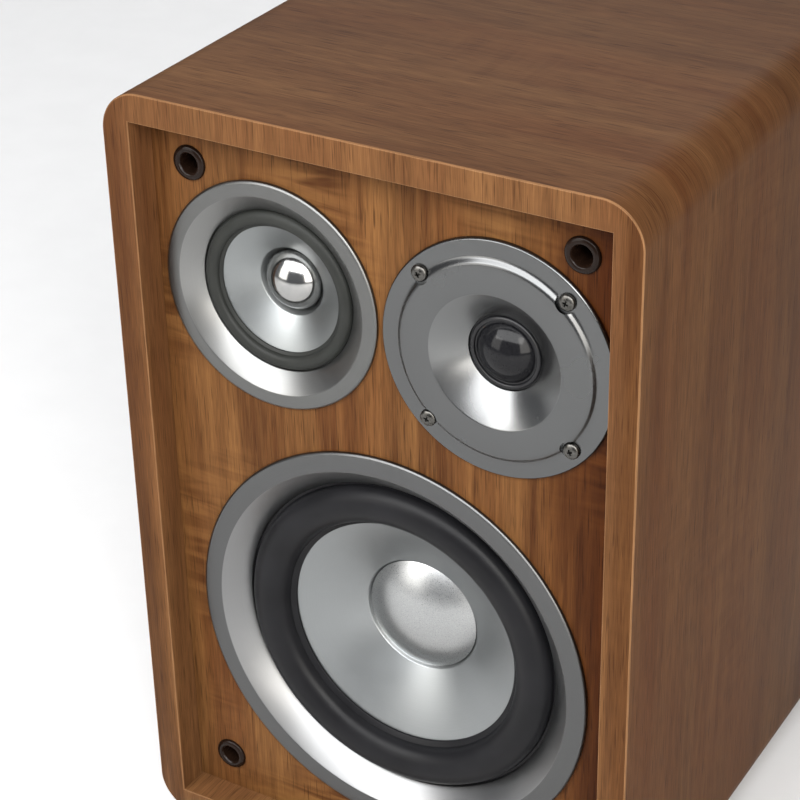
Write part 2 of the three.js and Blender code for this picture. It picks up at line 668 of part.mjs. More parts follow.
const onBoard = BOARD_TOP + GLUE_GAP;
place('crossover_board', crossoverBoard(), boardGreen, 0, BOARD.y, 0);
place('woofer_coil', airCoil(8, 22, 20), copper, -40, BOARD.y, onBoard);
place('midrange_coil', airCoil(6, 14, 14), copper, 12, BOARD.y - 20, onBoard);
place('woofer_capacitor', capacitor(9, 34), filmYellow, 42, BOARD.y + 20, onBoard + 9);
place('tweeter_capacitor', capacitor(6.5, 26), filmYellow, 50, BOARD.y - 14, onBoard + 6.5);
place('midrange_resistor', block(30, 8, 7), ceramic, 4, BOARD.y + 28, onBoard + 3.5);
place('wadding_pad', block(180, 100, 18, 0, 35, TOP - WALL - 9 - GLUE_GAP), wadding);

export default speaker;
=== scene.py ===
import json
from math import asin, atan2, cos, hypot, pi, radians, sin

import bmesh
import bpy
from mathutils import Matrix, Vector
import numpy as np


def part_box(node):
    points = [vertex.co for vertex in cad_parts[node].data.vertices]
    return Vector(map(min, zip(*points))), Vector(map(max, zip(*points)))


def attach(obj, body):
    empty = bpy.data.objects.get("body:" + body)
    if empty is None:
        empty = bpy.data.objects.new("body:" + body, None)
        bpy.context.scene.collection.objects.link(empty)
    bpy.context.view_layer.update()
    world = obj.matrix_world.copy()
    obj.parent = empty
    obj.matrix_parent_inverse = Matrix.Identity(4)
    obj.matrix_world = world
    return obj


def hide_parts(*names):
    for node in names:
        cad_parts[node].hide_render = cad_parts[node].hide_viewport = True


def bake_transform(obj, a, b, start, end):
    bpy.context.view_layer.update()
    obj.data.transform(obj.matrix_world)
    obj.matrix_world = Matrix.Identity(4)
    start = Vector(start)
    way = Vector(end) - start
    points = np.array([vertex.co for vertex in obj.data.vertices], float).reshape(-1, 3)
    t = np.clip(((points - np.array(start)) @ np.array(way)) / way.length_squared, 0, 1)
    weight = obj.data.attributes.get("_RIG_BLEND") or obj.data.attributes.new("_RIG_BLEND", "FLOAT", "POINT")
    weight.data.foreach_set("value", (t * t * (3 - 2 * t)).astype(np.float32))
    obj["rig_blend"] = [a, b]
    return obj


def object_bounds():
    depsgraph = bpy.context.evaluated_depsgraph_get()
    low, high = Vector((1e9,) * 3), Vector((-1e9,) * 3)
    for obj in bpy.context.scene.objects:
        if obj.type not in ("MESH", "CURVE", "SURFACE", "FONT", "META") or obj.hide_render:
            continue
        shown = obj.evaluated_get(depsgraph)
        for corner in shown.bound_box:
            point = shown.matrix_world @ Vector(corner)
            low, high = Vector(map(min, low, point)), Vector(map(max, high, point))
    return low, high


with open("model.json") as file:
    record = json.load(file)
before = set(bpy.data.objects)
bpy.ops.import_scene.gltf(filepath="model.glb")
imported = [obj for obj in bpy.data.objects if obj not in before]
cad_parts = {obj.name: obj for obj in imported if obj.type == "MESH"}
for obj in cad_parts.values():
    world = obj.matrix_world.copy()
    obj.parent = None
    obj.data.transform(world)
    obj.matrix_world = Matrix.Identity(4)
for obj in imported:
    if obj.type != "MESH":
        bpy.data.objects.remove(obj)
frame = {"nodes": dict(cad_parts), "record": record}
cad_low, cad_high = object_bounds()

# ---- Camera, lights and floor ---------------------------------------------------------------
# The speaker stands on a plain pale floor and is seen from above its right front corner.
# A wide softbox high in front shines in the lower sides of the dishes, two smaller ones stand lower
# to its left and right, and a weak one behind lights the back.
camera_azimuth, camera_elevation, camera_roll = radians(31.261), radians(29.934), radians(-1.322)
camera_distance = 0.8452
camera_lens = 102.94
camera_target = Vector((0.0159, cad_low.y, 0.2450))
camera_back = Vector((
    sin(camera_azimuth) * cos(camera_elevation),
    -cos(camera_azimuth) * cos(camera_elevation),
    sin(camera_elevation),
))
camera_right = camera_back.cross(Vector((0, 0, -1))).normalized()
camera_up = camera_back.cross(camera_right)
camera_turn = Matrix((camera_right, camera_up, camera_back)).transposed()
camera_turn = camera_turn @ Matrix.Rotation(camera_roll, 3, "Z")
camera_data = bpy.data.cameras.new("camera")
camera_data.lens = camera_lens
camera_data.sensor_width = 36
camera_data.clip_start = 0.05
camera = bpy.data.objects.new("camera", camera_data)
camera.matrix_world = Matrix.Translation(camera_target + camera_back * camera_distance) @ camera_turn.to_4x4()
bpy.context.collection.objects.link(camera)
bpy.context.scene.camera = camera
bpy.context.scene.view_settings.view_transform = "Standard"


def softbox(name, azimuth, elevation, distance, width, height, radiance, colour=(1, 1, 1)):
    """A soft area light aimed at the middle of the speaker; radiance is how bright its face looks."""
    azimuth, elevation = radians(azimuth), radians(elevation)
    towards = Vector((sin(azimuth) * cos(elevation), -cos(azimuth) * cos(elevation), sin(elevation)))
    data = bpy.data.lights.new(name, "AREA")
    data.shape = "RECTANGLE"
    data.size, data.size_y = width, height
    data.energy = radiance * pi * width * height
    data.color = colour
    light = bpy.data.objects.new(name, data)
    light.location = Vector((0, 0, cad_high.z / 2)) + towards * distance
    light.rotation_euler = towards.to_track_quat("Z", "Y").to_euler()
    bpy.context.collection.objects.link(light)


softbox("left_softbox", -32, 17, 1.7, 0.8, 0.9, 3.6, (1, 0.97, 0.92))
softbox("key_softbox", 2, 44, 1.7, 2.7, 0.8, 8.5)
softbox("right_softbox", 50, 22, 1.7, 0.8, 1.3, 6.8, (1, 0.96, 0.90))
softbox("back_softbox", 206, 40, 2.3, 1.9, 1.4, 2.3)

world = bpy.data.worlds.new("studio")
world.use_nodes = True
sky = world.node_tree.nodes["Background"]
sky.inputs["Color"].default_value = (0.93, 0.95, 1.0, 1)
sky.inputs["Strength"].default_value = 0.30
bpy.context.scene.world = world


def node(tree, kind, inputs=None, **settings):
    """Adds a shader node; an input is a value or a socket to link, a setting is a property."""
    made = tree.nodes.new(kind)
    for key, value in settings.items():
        setattr(made, key, value)
    for key, value in (inputs or {}).items():
        if isinstance(value, bpy.types.NodeSocket):
            tree.links.new(value, made.inputs[key])
        else:
            made.inputs[key].default_value = value
    return made


def material_for(name, roughness=0.5, metallic=0.0, **sockets):
    """A new Principled material; returns the material, its tree and its shader."""
    material = bpy.data.materials.new(name)
    material.use_nodes = True
    tree = material.node_tree
    shader = tree.nodes["Principled BSDF"]
    shader.inputs["Roughness"].default_value = roughness
    shader.inputs["Metallic"].default_value = metallic
    for key, value in sockets.items():
        shader.inputs[key.replace("_", " ")].default_value = value
    return material, tree, shader


def noise(tree, vector, scale, stretch=(1, 1, 1), detail=2.0, roughness=0.5, distortion=0.0):
    """Noise from 0 to 1 with `scale` features a metre, shrunk along each axis by `stretch`."""
    stretched = node(tree, "ShaderNodeMapping", {"Vector": vector, "Scale": stretch}).outputs["Vector"]
    return node(tree, "ShaderNodeTexNoise", {
        "Vector": stretched, "Scale": scale, "Detail": detail, "Roughness": roughness,
        "Distortion": distortion,
    }).outputs["Fac"]


def ramp(tree, factor, *stops):
    """A colour ramp; each stop is (position, colour), where a colour is a grey or three parts."""
    made = node(tree, "ShaderNodeValToRGB", {"Fac": factor})
    elements = made.color_ramp.elements
    while len(elements) < len(stops):
        elements.new(0.5)
    for element, (position, colour) in zip(elements, stops):
        element.position = position
        element.color = (*colour, 1) if hasattr(colour, "__len__") else (colour, colour, colour, 1)
    return made.outputs["Color"]


def mixed(tree, factor, first, second, blend="MIX"):
    """Mixes two colours, each a socket or three parts, by a factor that is a socket or a number."""
    made = node(tree, "ShaderNodeMix", data_type="RGBA", blend_type=blend)
    for index, value in ((0, factor), (6, first), (7, second)):
        if isinstance(value, bpy.types.NodeSocket):
            tree.links.new(value, made.inputs[index])
        else:
            made.inputs[index].default_value = (*value, 1) if hasattr(value, "__len__") else value
    return made.outputs[2]


def maths(tree, operation, first, second=0.0):
    """One arithmetic step on two sockets or numbers."""
    made = node(tree, "ShaderNodeMath", {0: first, 1: second}, operation=operation)
    return made.outputs[0]


def coloured(tree, shader, factor, *stops):
    """Takes the shader's colour from a ramp."""
    tree.links.new(ramp(tree, factor, *stops), shader.inputs["Base Color"])


def bumped(tree, shader, height, depth, strength=1.0):
    """Lifts the shader's normal by a height of 0 to 1 that stands for `depth` metres."""
    bump = node(tree, "ShaderNodeBump", {"Height": height, "Distance": depth, "Strength": strength})
    tree.links.new(bump.outputs["Normal"], shader.inputs["Normal"])


floor_shape = bmesh.new()
bmesh.ops.create_circle(floor_shape, cap_ends=True, segments=96, radius=7)
floor_mesh = bpy.data.meshes.new("floor")
floor_shape.to_mesh(floor_mesh)
floor = bpy.data.objects.new("floor", floor_mesh)
bpy.context.collection.objects.link(floor)
floor_paint, tree, shader = material_for("floor_paint", roughness=0.75)
place = node(tree, "ShaderNodeTexCoord").outputs["Object"]
coloured(tree, shader, noise(tree, place, 30, detail=4), (0.3, 0.70), (0.7, 0.72))
floor_mesh.materials.append(floor_paint)

# ---- Cabinet wrap ---------------------------------------------------------------------------
# Four 12 mm board walls folded from one veneered sheet, so the grain runs over the round corners.
# The front rims and the recess are lipped with veneer, its grain upright, with eased arrises. Their copy of
# the veneer is paler than the outside's, whose darker copy is painted shade for the weaker light on the top
# and side.
wall = 0.012
corner_radius = 0.0172
corner_segments = 24
front_arris, inner_arris, rear_arris = 0.0006, 0.0004, 0.0005
near = 1e-5

wrap_low, wrap_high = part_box("cabinet_wrap")
wrap_middle = (wrap_low + wrap_high) / 2
wrap_size = wrap_high - wrap_low
core_x = wrap_size.x / 2 - corner_radius
core_z = wrap_size.z / 2 - corner_radius
inner_x = wrap_size.x / 2 - wall
inner_z = wrap_size.z / 2 - wall


def from_core(point):
    """How far a point lies outside the flat part of the walls, across and up: (0, 0) within it."""
    across, up = abs(point.x), point.z - wrap_middle.z
    return across - min(across, core_x), up - max(-core_z, min(up, core_z))


def on_skin(vertex):
    return hypot(*from_core(vertex.co)) > corner_radius - near


def on_opening(vertex):
    across, up = abs(vertex.co.x), abs(vertex.co.z - wrap_middle.z)
    return max(across - inner_x, up - inner_z) < near and max(across / inner_x, up / inner_z) > 1 - near


def round_the_outside(point, side):
    """Distance round the walls from the middle of the top, positive to the right (side 1)."""
    out, up = from_core(point)
    level = max(-core_z, min(point.z - wrap_middle.z, core_z))
    across = min(side * point.x, core_x)
    flat = across if point.z > wrap_middle.z else 2 * core_x - across
    return side * (corner_radius * atan2(max(out, 0), up) + core_z - level + flat)


walls = bmesh.new()
bmesh.ops.create_cube(walls, size=1, matrix=Matrix.LocRotScale(wrap_middle, None, wrap_size))
bmesh.ops.bevel(
    walls, geom=[e for e in walls.edges if abs(e.verts[0].co.y - e.verts[1].co.y) > wall],
    offset=corner_radius, offset_type="OFFSET", affect="EDGES", segments=corner_segments,
    profile=0.5, material=-1, clamp_overlap=False,
)
ends = [f for f in walls.faces if abs(f.normal.y) > 0.9]
bmesh.ops.inset_individual(walls, faces=ends, thickness=wall, depth=0)
corner_reach = 0.001
for vertex in {v for end in ends for v in end.verts}:
    across, up = vertex.co.x, vertex.co.z - wrap_middle.z
    if abs(across) > core_x - corner_reach and abs(up) > core_z - corner_reach:
        vertex.co.x = inner_x if across > 0 else -inner_x
        vertex.co.z = wrap_middle.z + (inner_z if up > 0 else -inner_z)
bmesh.ops.remove_doubles(walls, verts=walls.verts, dist=near)
inner_faces = [f for f in walls.faces if len(f.verts) == 4 and all(map(on_opening, f.verts))]
rims = {e for f in inner_faces for e in f.edges}
bmesh.ops.delete(walls, geom=inner_faces, context="FACES_ONLY")
spokes = []
for edge in walls.edges:
    ends_on_skin = [v for v in edge.verts if on_skin(v)]
    if len(ends_on_skin) == 1 and any(map(on_opening, edge.verts)):
        out, up = from_core(ends_on_skin[0].co)
        if abs(out - abs(up)) > near:
            spokes.append(edge)
bmesh.ops.dissolve_edges(walls, edges=spokes, use_verts=False)
bmesh.ops.bridge_loops(walls, edges=[e for e in rims if e.is_valid])
bmesh.ops.recalc_face_normals(walls, faces=walls.faces)
underside = [f for f in walls.faces if f.normal.z < -0.9 and all(v.co.z < wrap_low.z + near for v in f.verts)]
bottom_edges = {e for f in underside for e in f.edges}
bottom_corners = {v for f in underside for v in f.verts}
bmesh.ops.bisect_plane(
    walls, geom=[*underside, *bottom_edges, *bottom_corners],
    plane_co=(0, 0, 0), plane_no=(1, 0, 0),
)
eased = []
for level, skin_arris, opening_arris in (
    (wrap_low.y, front_arris, inner_arris), (wrap_high.y, rear_arris, rear_arris),
):
    for offset, lies_there in ((skin_arris, on_skin), (opening_arris, on_opening)):
        edges = [e for e in walls.edges if all(abs(v.co.y - level) < near and lies_there(v) for v in e.verts)]
        made = bmesh.ops.bevel(
            walls, geom=edges, offset=offset, offset_type="OFFSET", affect="EDGES", segments=3,
            profile=0.5, material=-1, clamp_overlap=False,
        )
        eased.extend(made["faces"])
eased = {f for f in eased if f.is_valid}
grain_map = walls.loops.layers.uv.new("UVMap")
for face in walls.faces:
    centre = face.calc_center_median()
    side = 1 if centre.x > 0 else -1
    inside = max(abs(centre.x) - inner_x, abs(centre.z - wrap_middle.z) - inner_z) < near
    rim = abs(face.normal.y) > 0.9
    # The eased arrises take slot 2, a paler copy of the veneer painted as a highlight.
    face.material_index = 2 if face in eased else 1 if rim or inside else 0
    for loop in face.loops:
        at = loop.vert.co
        if rim:
            loop[grain_map].uv = (at.z, at.x)
        elif inside and abs(face.normal.x) > 0.7:
            loop[grain_map].uv = (at.z, at.x + side * (at.y - wrap_low.y))
        elif inside:
            loop[grain_map].uv = (at.z + at.y - wrap_low.y, at.x)
        else:
            loop[grain_map].uv = (round_the_outside(at, side), at.y)


def veneer(name, pale, deep, red, pore, upright=False, coarse=1.0, figure=0.25, gloss=0.42):
    """Sliced veneer under satin lacquer: broad bands, streaks, fine fibres, open pores and some
    ripple across the grain. The grain runs along U, or up the piece when it is upright."""
    material, tree, shader = material_for(name, roughness=gloss, Specular_IOR_Level=0.05)
    source = node(tree, "ShaderNodeTexCoord").outputs["Object" if upright else "UV"]
    if upright:
        parts = node(tree, "ShaderNodeSeparateXYZ", {"Vector": source}).outputs
        source = node(tree, "ShaderNodeCombineXYZ", {"X": parts["Z"], "Y": parts["X"]}).outputs["Vector"]
    bands = noise(tree, source, 1, (5, 60, 1), detail=3, distortion=0.5)
    streaks = noise(tree, source, 1, (13, 330 * coarse, 1), detail=4, roughness=0.6)
    fibres = noise(tree, source, 1, (75, 2600 * coarse, 1), detail=2)
    flush = noise(tree, source, 1, (3.5, 24, 1), detail=2)
    ripple = noise(tree, source, 1, (150, 20, 1), detail=2, distortion=1.2)
    where_rippled = ramp(tree, noise(tree, source, 1, (10, 14, 1), detail=1), (0.5, 0), (0.66, 1))
    dashes = noise(tree, source, 1, (60, 1500 * coarse, 1), detail=1.5, roughness=0.4)
    pores = ramp(tree, dashes, (0.30, 1), (0.40, 0))
    depth = maths(tree, "ADD", maths(tree, "MULTIPLY", bands, 0.55), maths(tree, "MULTIPLY", streaks, 0.45))
    colour = ramp(tree, depth, (0.36, deep), (0.62, pale))
    colour = mixed(tree, ramp(tree, flush, (0.45, 0), (0.7, 0.75)), colour, mixed(tree, 0.5, colour, red))
    shade = ramp(tree, fibres, (0.3, 0.74), (0.7, 1.16))
    colour = mixed(tree, 1.0, colour, shade, "MULTIPLY")
    rippling = maths(tree, "MULTIPLY", where_rippled, figure)
    colour = mixed(tree, rippling, colour, ramp(tree, ripple, (0.35, deep), (0.65, pale)))
    colour = mixed(tree, maths(tree, "MULTIPLY", pores, 0.6), colour, pore)
    tree.links.new(colour, shader.inputs["Base Color"])
    height = maths(tree, "SUBTRACT", maths(tree, "MULTIPLY", fibres, 0.35), pores)
    bumped(tree, shader, height, 0.00005, 0.5)
    return material


# Painted shade: the outside's veneer is a darker copy of the rims' veneer, standing for the weaker light on
# the top and side.
wrap_veneer_painted_shade = veneer(
    "wrap_veneer_painted_shade", (0.096, 0.044, 0.017), (0.058, 0.023, 0.0085), (0.080, 0.026, 0.008),
    (0.028, 0.010, 0.004), coarse=0.8, figure=0.2, gloss=0.5,
)
rim_veneer = veneer(
    "rim_veneer", (0.135, 0.063, 0.024), (0.073, 0.031, 0.012), (0.098, 0.037, 0.014),
    (0.034, 0.013, 0.005), figure=0.1,
)
# Painted highlight: the eased arrises take a paler copy of the veneer, standing for the light that their
# rounding catches.
arris_highlight_veneer = veneer(
    "arris_highlight_veneer", (0.210, 0.110, 0.050), (0.140, 0.068, 0.029), (0.150, 0.066, 0.028),
    (0.090, 0.042, 0.018), figure=0.0,
)
body_with = {n: body for body, names in frame["record"]["behaviour"]["bodies"].items() for n in names}


def shaded_sideways(material, start, end, shade, both=True):
    """Shades a veneer from `start` to `end` metres off the middle plane, to the right or both ways."""
    tree = material.node_tree
    base = tree.nodes["Principled BSDF"].inputs["Base Color"]
    place = node(tree, "ShaderNodeTexCoord").outputs["Object"]
    across = node(tree, "ShaderNodeSeparateXYZ", {"Vector": place}).outputs["X"]
    waver_size = 0.03
    waver = maths(tree, "MULTIPLY", noise(tree, place, 1, (40, 40, 6), detail=3), waver_size)
    away = maths(tree, "ADD", maths(tree, "ABSOLUTE", across) if both else across, waver)
    fade = node(tree, "ShaderNodeMapRange", {
        "Value": away, "From Min": start + waver_size / 2, "From Max": end + waver_size / 2,
    }).outputs["Result"]
    tree.links.new(mixed(tree, fade, base.links[0].from_socket, shade, "MULTIPLY"), base)


# The rims' veneer is darker on its outer half.
shaded_sideways(rim_veneer, 0.100, 0.108, (0.68, 0.62, 0.55))


def show(name, shape, *finishes, replaces=None, body=None, slot=None, sharp=38):
    """Makes a bmesh a smooth-shaded piece that stands for a CAD node, or that rides on a body. The
    body "flexing" leaves a piece to flexing(), which ties it to two bodies."""
    mesh = bpy.data.meshes.new(name)
    shape.to_mesh(mesh)
    shape.free()
    mesh.shade_smooth()
    mesh.set_sharp_from_angle(angle=radians(sharp))
    for finish in finishes:
        mesh.materials.append(finish)
    piece = bpy.data.objects.new(name, mesh)
    bpy.context.collection.objects.link(piece)
    if replaces:
        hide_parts(replaces)
    if body != "flexing":
        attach(piece, body or body_with[replaces])
    return piece


show("cabinet", walls, wrap_veneer_painted_shade, rim_veneer, arris_highlight_veneer, replaces="cabinet_wrap")

# ---- Front baffle ---------------------------------------------------------------------------
# An 18 mm board, veneered on the face and glued 13.8 mm behind the front rims, bored and rebated
# for the three drivers. The CAD board is already right, so it only gets its veneer.
baffle_veneer = veneer(
    "baffle_veneer", (0.140, 0.064, 0.021), (0.048, 0.017, 0.0055), (0.100, 0.030, 0.008),
    (0.018, 0.006, 0.002), upright=True, figure=0.9,
)
# Painted shade: towards the right edge the veneer is darkened and reddened, standing for the right wall's
# shadow and the warm light that the wall bounces onto it.
shaded_sideways(baffle_veneer, 0.052, 0.094, (0.45, 0.27, 0.15), both=False)


def finish_node(name, finish):
    """Gives a CAD node that stays in view its finish."""
    for material_slot in frame["nodes"][name].material_slots:
        material_slot.material = finish


finish_node("front_baffle", baffle_veneer)
baffle_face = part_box("front_baffle")[0].y

# ---- Trim rings of the woofer and the midrange ----------------------------------------------
# Pressed aluminium rings that snap over their drivers' screws. Each has a flat band on the baffle
# under satin grey lacquer, a bevel turned bright that runs down to the surround, and rolled edges.
mm = 0.001


def centre_of(name):
    """The middle of a turned CAD node, on the plane of the baffle's face."""
    low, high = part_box(name)
    return Vector(((low.x + high.x) / 2, baffle_face, (low.z + high.z) / 2))


def spun(outline, centre, steps, closed=True):
    """Turns an outline of (radius, depth) or (radius, depth, rounding) in millimetres about the
    driver's axis. Depth runs back from the baffle's face; a rounding eases that corner."""
    shape = bmesh.new()
    corners = [(shape.verts.new((point[0] * mm, point[1] * mm, 0)), point[2:]) for point in outline]
    line = [vertex for vertex, _ in corners]
    for first, second in zip(line, line[1:] + (line[:1] if closed else [])):
        shape.edges.new((first, second))
    for vertex, rounding in corners:
        if rounding:
            bmesh.ops.bevel(
                shape, geom=[vertex, *vertex.link_edges], offset=rounding[0] * mm, offset_type="OFFSET",
                affect="VERTICES", segments=3, profile=0.5, material=-1,
            )
    bmesh.ops.spin(
        shape, geom=shape.verts[:] + shape.edges[:], cent=(0, 0, 0), axis=(0, 1, 0), dvec=(0, 0, 0),
        angle=2 * pi, steps=steps, use_merge=True,
    )
    bmesh.ops.remove_doubles(shape, verts=shape.verts, dist=1e-7)
    bmesh.ops.recalc_face_normals(shape, faces=shape.faces)
    bmesh.ops.translate(shape, verts=shape.verts, vec=centre)
    return shape


def from_axis(tree, centre):
    """Distance from a driver's axis in metres and the place relative to the driver, as sockets."""
    moved = node(tree, "ShaderNodeMapping", {
        "Vector": node(tree, "ShaderNodeTexCoord").outputs["Object"],
        "Location": (-centre.x, -centre.y, -centre.z),
    }).outputs["Vector"]
    flat = node(tree, "ShaderNodeVectorMath", {0: moved, 1: (1, 0, 1)}, operation="MULTIPLY").outputs[0]
    return node(tree, "ShaderNodeVectorMath", {0: flat}, operation="LENGTH").outputs["Value"], moved


def satin_metal(name, colour, roughness, centre, line_depth=0.000004, dish=0.0, dish_gain=1.0):
    """Lacquered aluminium: fine lines left by the lathe round the axis, a light speckle in the
    lacquer, and slightly uneven gloss. Inside the radius `dish` (mm) the bare metal is turned
    bright, so it is `dish_gain` times as light."""
    material, tree, shader = material_for(name, metallic=1.0)
    radius, place = from_axis(tree, centre)
    around = node(tree, "ShaderNodeCombineXYZ", {"X": radius}).outputs["Vector"]
    lines = noise(tree, around, 3200, detail=3, roughness=0.7)
    speckle = noise(tree, place, 5200, detail=1)
    clouds = noise(tree, place, 45, detail=3)
    shade = maths(tree, "ADD", maths(tree, "MULTIPLY", lines, 0.5), maths(tree, "MULTIPLY", speckle, 0.25))
    dark = tuple(part * 0.90 for part in colour)
    light = tuple(min(1, part * 1.08) for part in colour)
    bare = maths(tree, "LESS_THAN", radius, dish * mm)
    gain = maths(tree, "ADD", maths(tree, "MULTIPLY", bare, dish_gain - 1), 1)
    metal = ramp(tree, shade, (0.15, dark), (0.6, light))
    tree.links.new(
        node(tree, "ShaderNodeVectorMath", {0: metal, "Scale": gain}, operation="SCALE").outputs[0],
        shader.inputs["Base Color"],
    )
    gloss = ramp(tree, clouds, (0.3, roughness * 0.92), (0.7, roughness * 1.08))
    tree.links.new(gloss, shader.inputs["Roughness"])
    bumped(tree, shader, shade, line_depth, 0.6)
    return material


ring_steps = 160
woofer, midrange = centre_of("woofer_trim_ring"), centre_of("midrange_trim_ring")
show("woofer_ring", spun([
    (89.4, -0.1), (89.4, -1.3, 0.25), (88.6, -2, 0.3), (81, -2, 0.35), (71.5, 7.5, 0.5), (71.5, 8.2, 0.2),
    (72.7, 8.2, 0.2), (81.7, -0.6, 0.3), (88, -0.6, 0.2), (88, -0.1),
], woofer, ring_steps), satin_metal(
    "woofer_ring_lacquer", (0.100, 0.101, 0.102), 0.34, woofer, dish=80.9, dish_gain=2.15,
), replaces="woofer_trim_ring")
show("midrange_ring", spun([
    (47.7, -0.1), (47.7, -1.3, 0.25), (46.9, -2, 0.3), (41.7, -2, 0.35), (33.8, 4.3, 0.45), (33.8, 5, 0.2),
    (35, 5, 0.2), (42.3, -0.8, 0.3), (46.5, -0.8, 0.2), (46.5, -0.1),
], midrange, ring_steps), satin_metal(
    "midrange_ring_lacquer", (0.124, 0.125, 0.123), 0.34, midrange, dish=41.6, dish_gain=1.55,
), replaces="midrange_trim_ring")

# ---- Surrounds ------------------------------------------------------------------------------
# Half-roll suspensions, glued to the basket outside and to the cone's rim inside: moulded butyl
# rubber on the woofer, grey doped foam on the midrange, thin black film on the tweeter's dome.


def half_roll(outer, outer_depth, inner, inner_depth, crown, steps=18):
    """Points over a half roll between two radii, bulging forward by its crown."""
    middle, half = (outer + inner) / 2, (outer - inner) / 2
    turns = [pi * i / steps for i in range(steps + 1)]
    slope = (inner_depth - outer_depth) / 2
    return [
        (middle + half * cos(t), outer_depth + slope * (1 - cos(t)) - crown * sin(t)) for t in turns
    ]


def surround(outer_lip, outer, inner, inner_lip, outer_depth, inner_depth, crown, sheet, slope):
    """The closed outline of a half-roll surround with a flat lip at each edge."""
    lip_depth = inner_depth + slope * (inner - inner_lip)
    front = half_roll(outer, outer_depth, inner, inner_depth, crown)
    behind = half_roll(outer - sheet, outer_depth + sheet, inner + sheet, inner_depth + sheet, crown)
    return [
        (outer_lip, outer_depth + sheet), (outer_lip, outer_depth), *front, (inner_lip, lip_depth, 0.15),
        (inner_lip, lip_depth + sheet), *reversed(behind),
    ]


def flexing(piece, moving_body, centre, still, moving):
    """Lets a ring-shaped suspension flex: it stays on the frame at the radius `still` and goes all
    the way with the moving parts at the radius `moving`."""
    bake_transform(piece, "root", moving_body, start=centre, end=centre - Vector((0, mm, 0)))
    weights = piece.data.attributes["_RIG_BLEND"].data
    for vertex, weight in zip(piece.data.vertices, weights):
        away = hypot(vertex.co.x - centre.x, vertex.co.z - centre.z)
        share = min(1.0, max(0.0, (still * mm - away) / ((still - moving) * mm)))
        weight.value = share * share * (3 - 2 * share)


def rubber(name, colour, roughness, grain_size=900, grain_depth=0.00002, specular=0.5):
    """Moulded rubber or soft plastic: a fine matt grain and faint cloudy wear in its gloss."""
    material, tree, shader = material_for(name, Specular_IOR_Level=specular)
    place = node(tree, "ShaderNodeTexCoord").outputs["Object"]
    clouds = noise(tree, place, 60, detail=4)
    grain = noise(tree, place, grain_size, detail=3)
    dark = tuple(part * 0.82 for part in colour)
    light = tuple(part * 1.2 for part in colour)
    coloured(tree, shader, clouds, (0.3, dark), (0.7, light))
    wear = maths(tree, "ADD", maths(tree, "MULTIPLY", clouds, 0.6), maths(tree, "MULTIPLY", grain, 0.4))
    gloss = ramp(tree, wear, (0.35, roughness * 0.88), (0.65, roughness * 1.12))
    tree.links.new(gloss, shader.inputs["Roughness"])
    bumped(tree, shader, grain, grain_depth, 0.5)
    return material


black_butyl = rubber("black_butyl", (0.007, 0.007, 0.008), 0.36, specular=0.12)
grey_foam = rubber(
    "grey_foam", (0.015, 0.016, 0.0145), 0.5, grain_size=1500, grain_depth=0.00005, specular=0.2,
)
black_film = rubber(
    "black_film", (0.005, 0.005, 0.006), 0.3, grain_size=2500, grain_depth=0.000008, specular=0.3,
)
tweeter = centre_of("tweeter_faceplate")
for name, centre, finish, shape in (
    ("woofer", woofer, black_butyl, (72, 70.4, 53.6, 51.5, 8.5, 9.2, 7, 0.7, 0.57)),
    ("midrange", midrange, grey_foam, (35.2, 33.4, 27.6, 26.5, 5.1, 4.9, 2.5, 0.5, 0.62)),
    ("tweeter", tweeter, black_film, (19, 14.9, 12.7, 12.12, 5.5, 5.3, 1.1, 0.4, 0)),
):
    piece = show(
        f"{name}_half_roll", spun(surround(*shape), centre, ring_steps), finish,
        replaces=f"{name}_surround", body="flexing",
    )
    flexing(piece, f"{name}_moving_parts", centre, still=shape[1], moving=shape[2])

# ---- Woofer and midrange cones --------------------------------------------------------------
# Cones spun from thin aluminium and lacquered satin. A shallow well round the middle takes the
# dust cap, and a neck behind it grips the voice coil.


def cone(rim, rim_depth, step, step_depth, well, well_depth, neck, neck_end, sheet):
    """The closed outline of a spun cone with a well for its dust cap and a neck for its coil."""
    neck_depth = well_depth + 0.5 * (well - neck)
    return [
        (rim, rim_depth, 0.2), (step, step_depth, 0.25), (well, well_depth, 0.3), (neck, neck_depth, 0.4),
        (neck, neck_end), (neck + sheet, neck_end), (neck + sheet, neck_depth + sheet, 0.3),
        (well + sheet, well_depth + sheet, 0.3), (step + 0.3 * sheet, step_depth + 1.2 * sheet, 0.3),
        (rim, rim_depth + 1.2 * sheet, 0.2),
    ]


thin_lines = 0.000002
woofer_silver = satin_metal("woofer_cone_lacquer", (0.243, 0.254, 0.258), 0.37, woofer, thin_lines)
midrange_silver = satin_metal("midrange_cone_lacquer", (0.225, 0.236, 0.238), 0.38, midrange, thin_lines)
show(
    "woofer_spun_cone", spun(cone(53.6, 10.5, 26, 26, 25.4, 27.3, 18.4, 35, 0.8), woofer, ring_steps),
    woofer_silver, replaces="woofer_cone",
)
show(
    "midrange_spun_cone", spun(cone(27.6, 5.9, 14.4, 14, 12.6, 17.4, 11.5, 22.5, 0.6), midrange, ring_steps),
    midrange_silver, replaces="midrange_cone",
)

# ---- Dust caps ------------------------------------------------------------------------------
# The woofer's cap is a shallow dome of sand-blasted aluminium; the midrange has a smaller and rounder
# mirror-polished cap on a short skirt. Each is glued into its cone's well.


def dome(rim, depth, crown, steps=20):
    """Points over a dome from its rim to the axis, its crown nearer the front."""
    ball = (rim * rim + crown * crown) / (2 * crown)
    spread = asin(min(1, rim / ball))
    turns = [spread * (1 - i / steps) for i in range(steps + 1)]
    return [(ball * sin(t) if t else 0, depth - crown + ball * (1 - cos(t))) for t in turns]


def shell(rim, depth, crown, sheet):
    """A dome of even thickness, from the axis inside to the axis outside."""
    return [*reversed(dome(rim - sheet, depth, crown - sheet)), *dome(rim, depth, crown)]


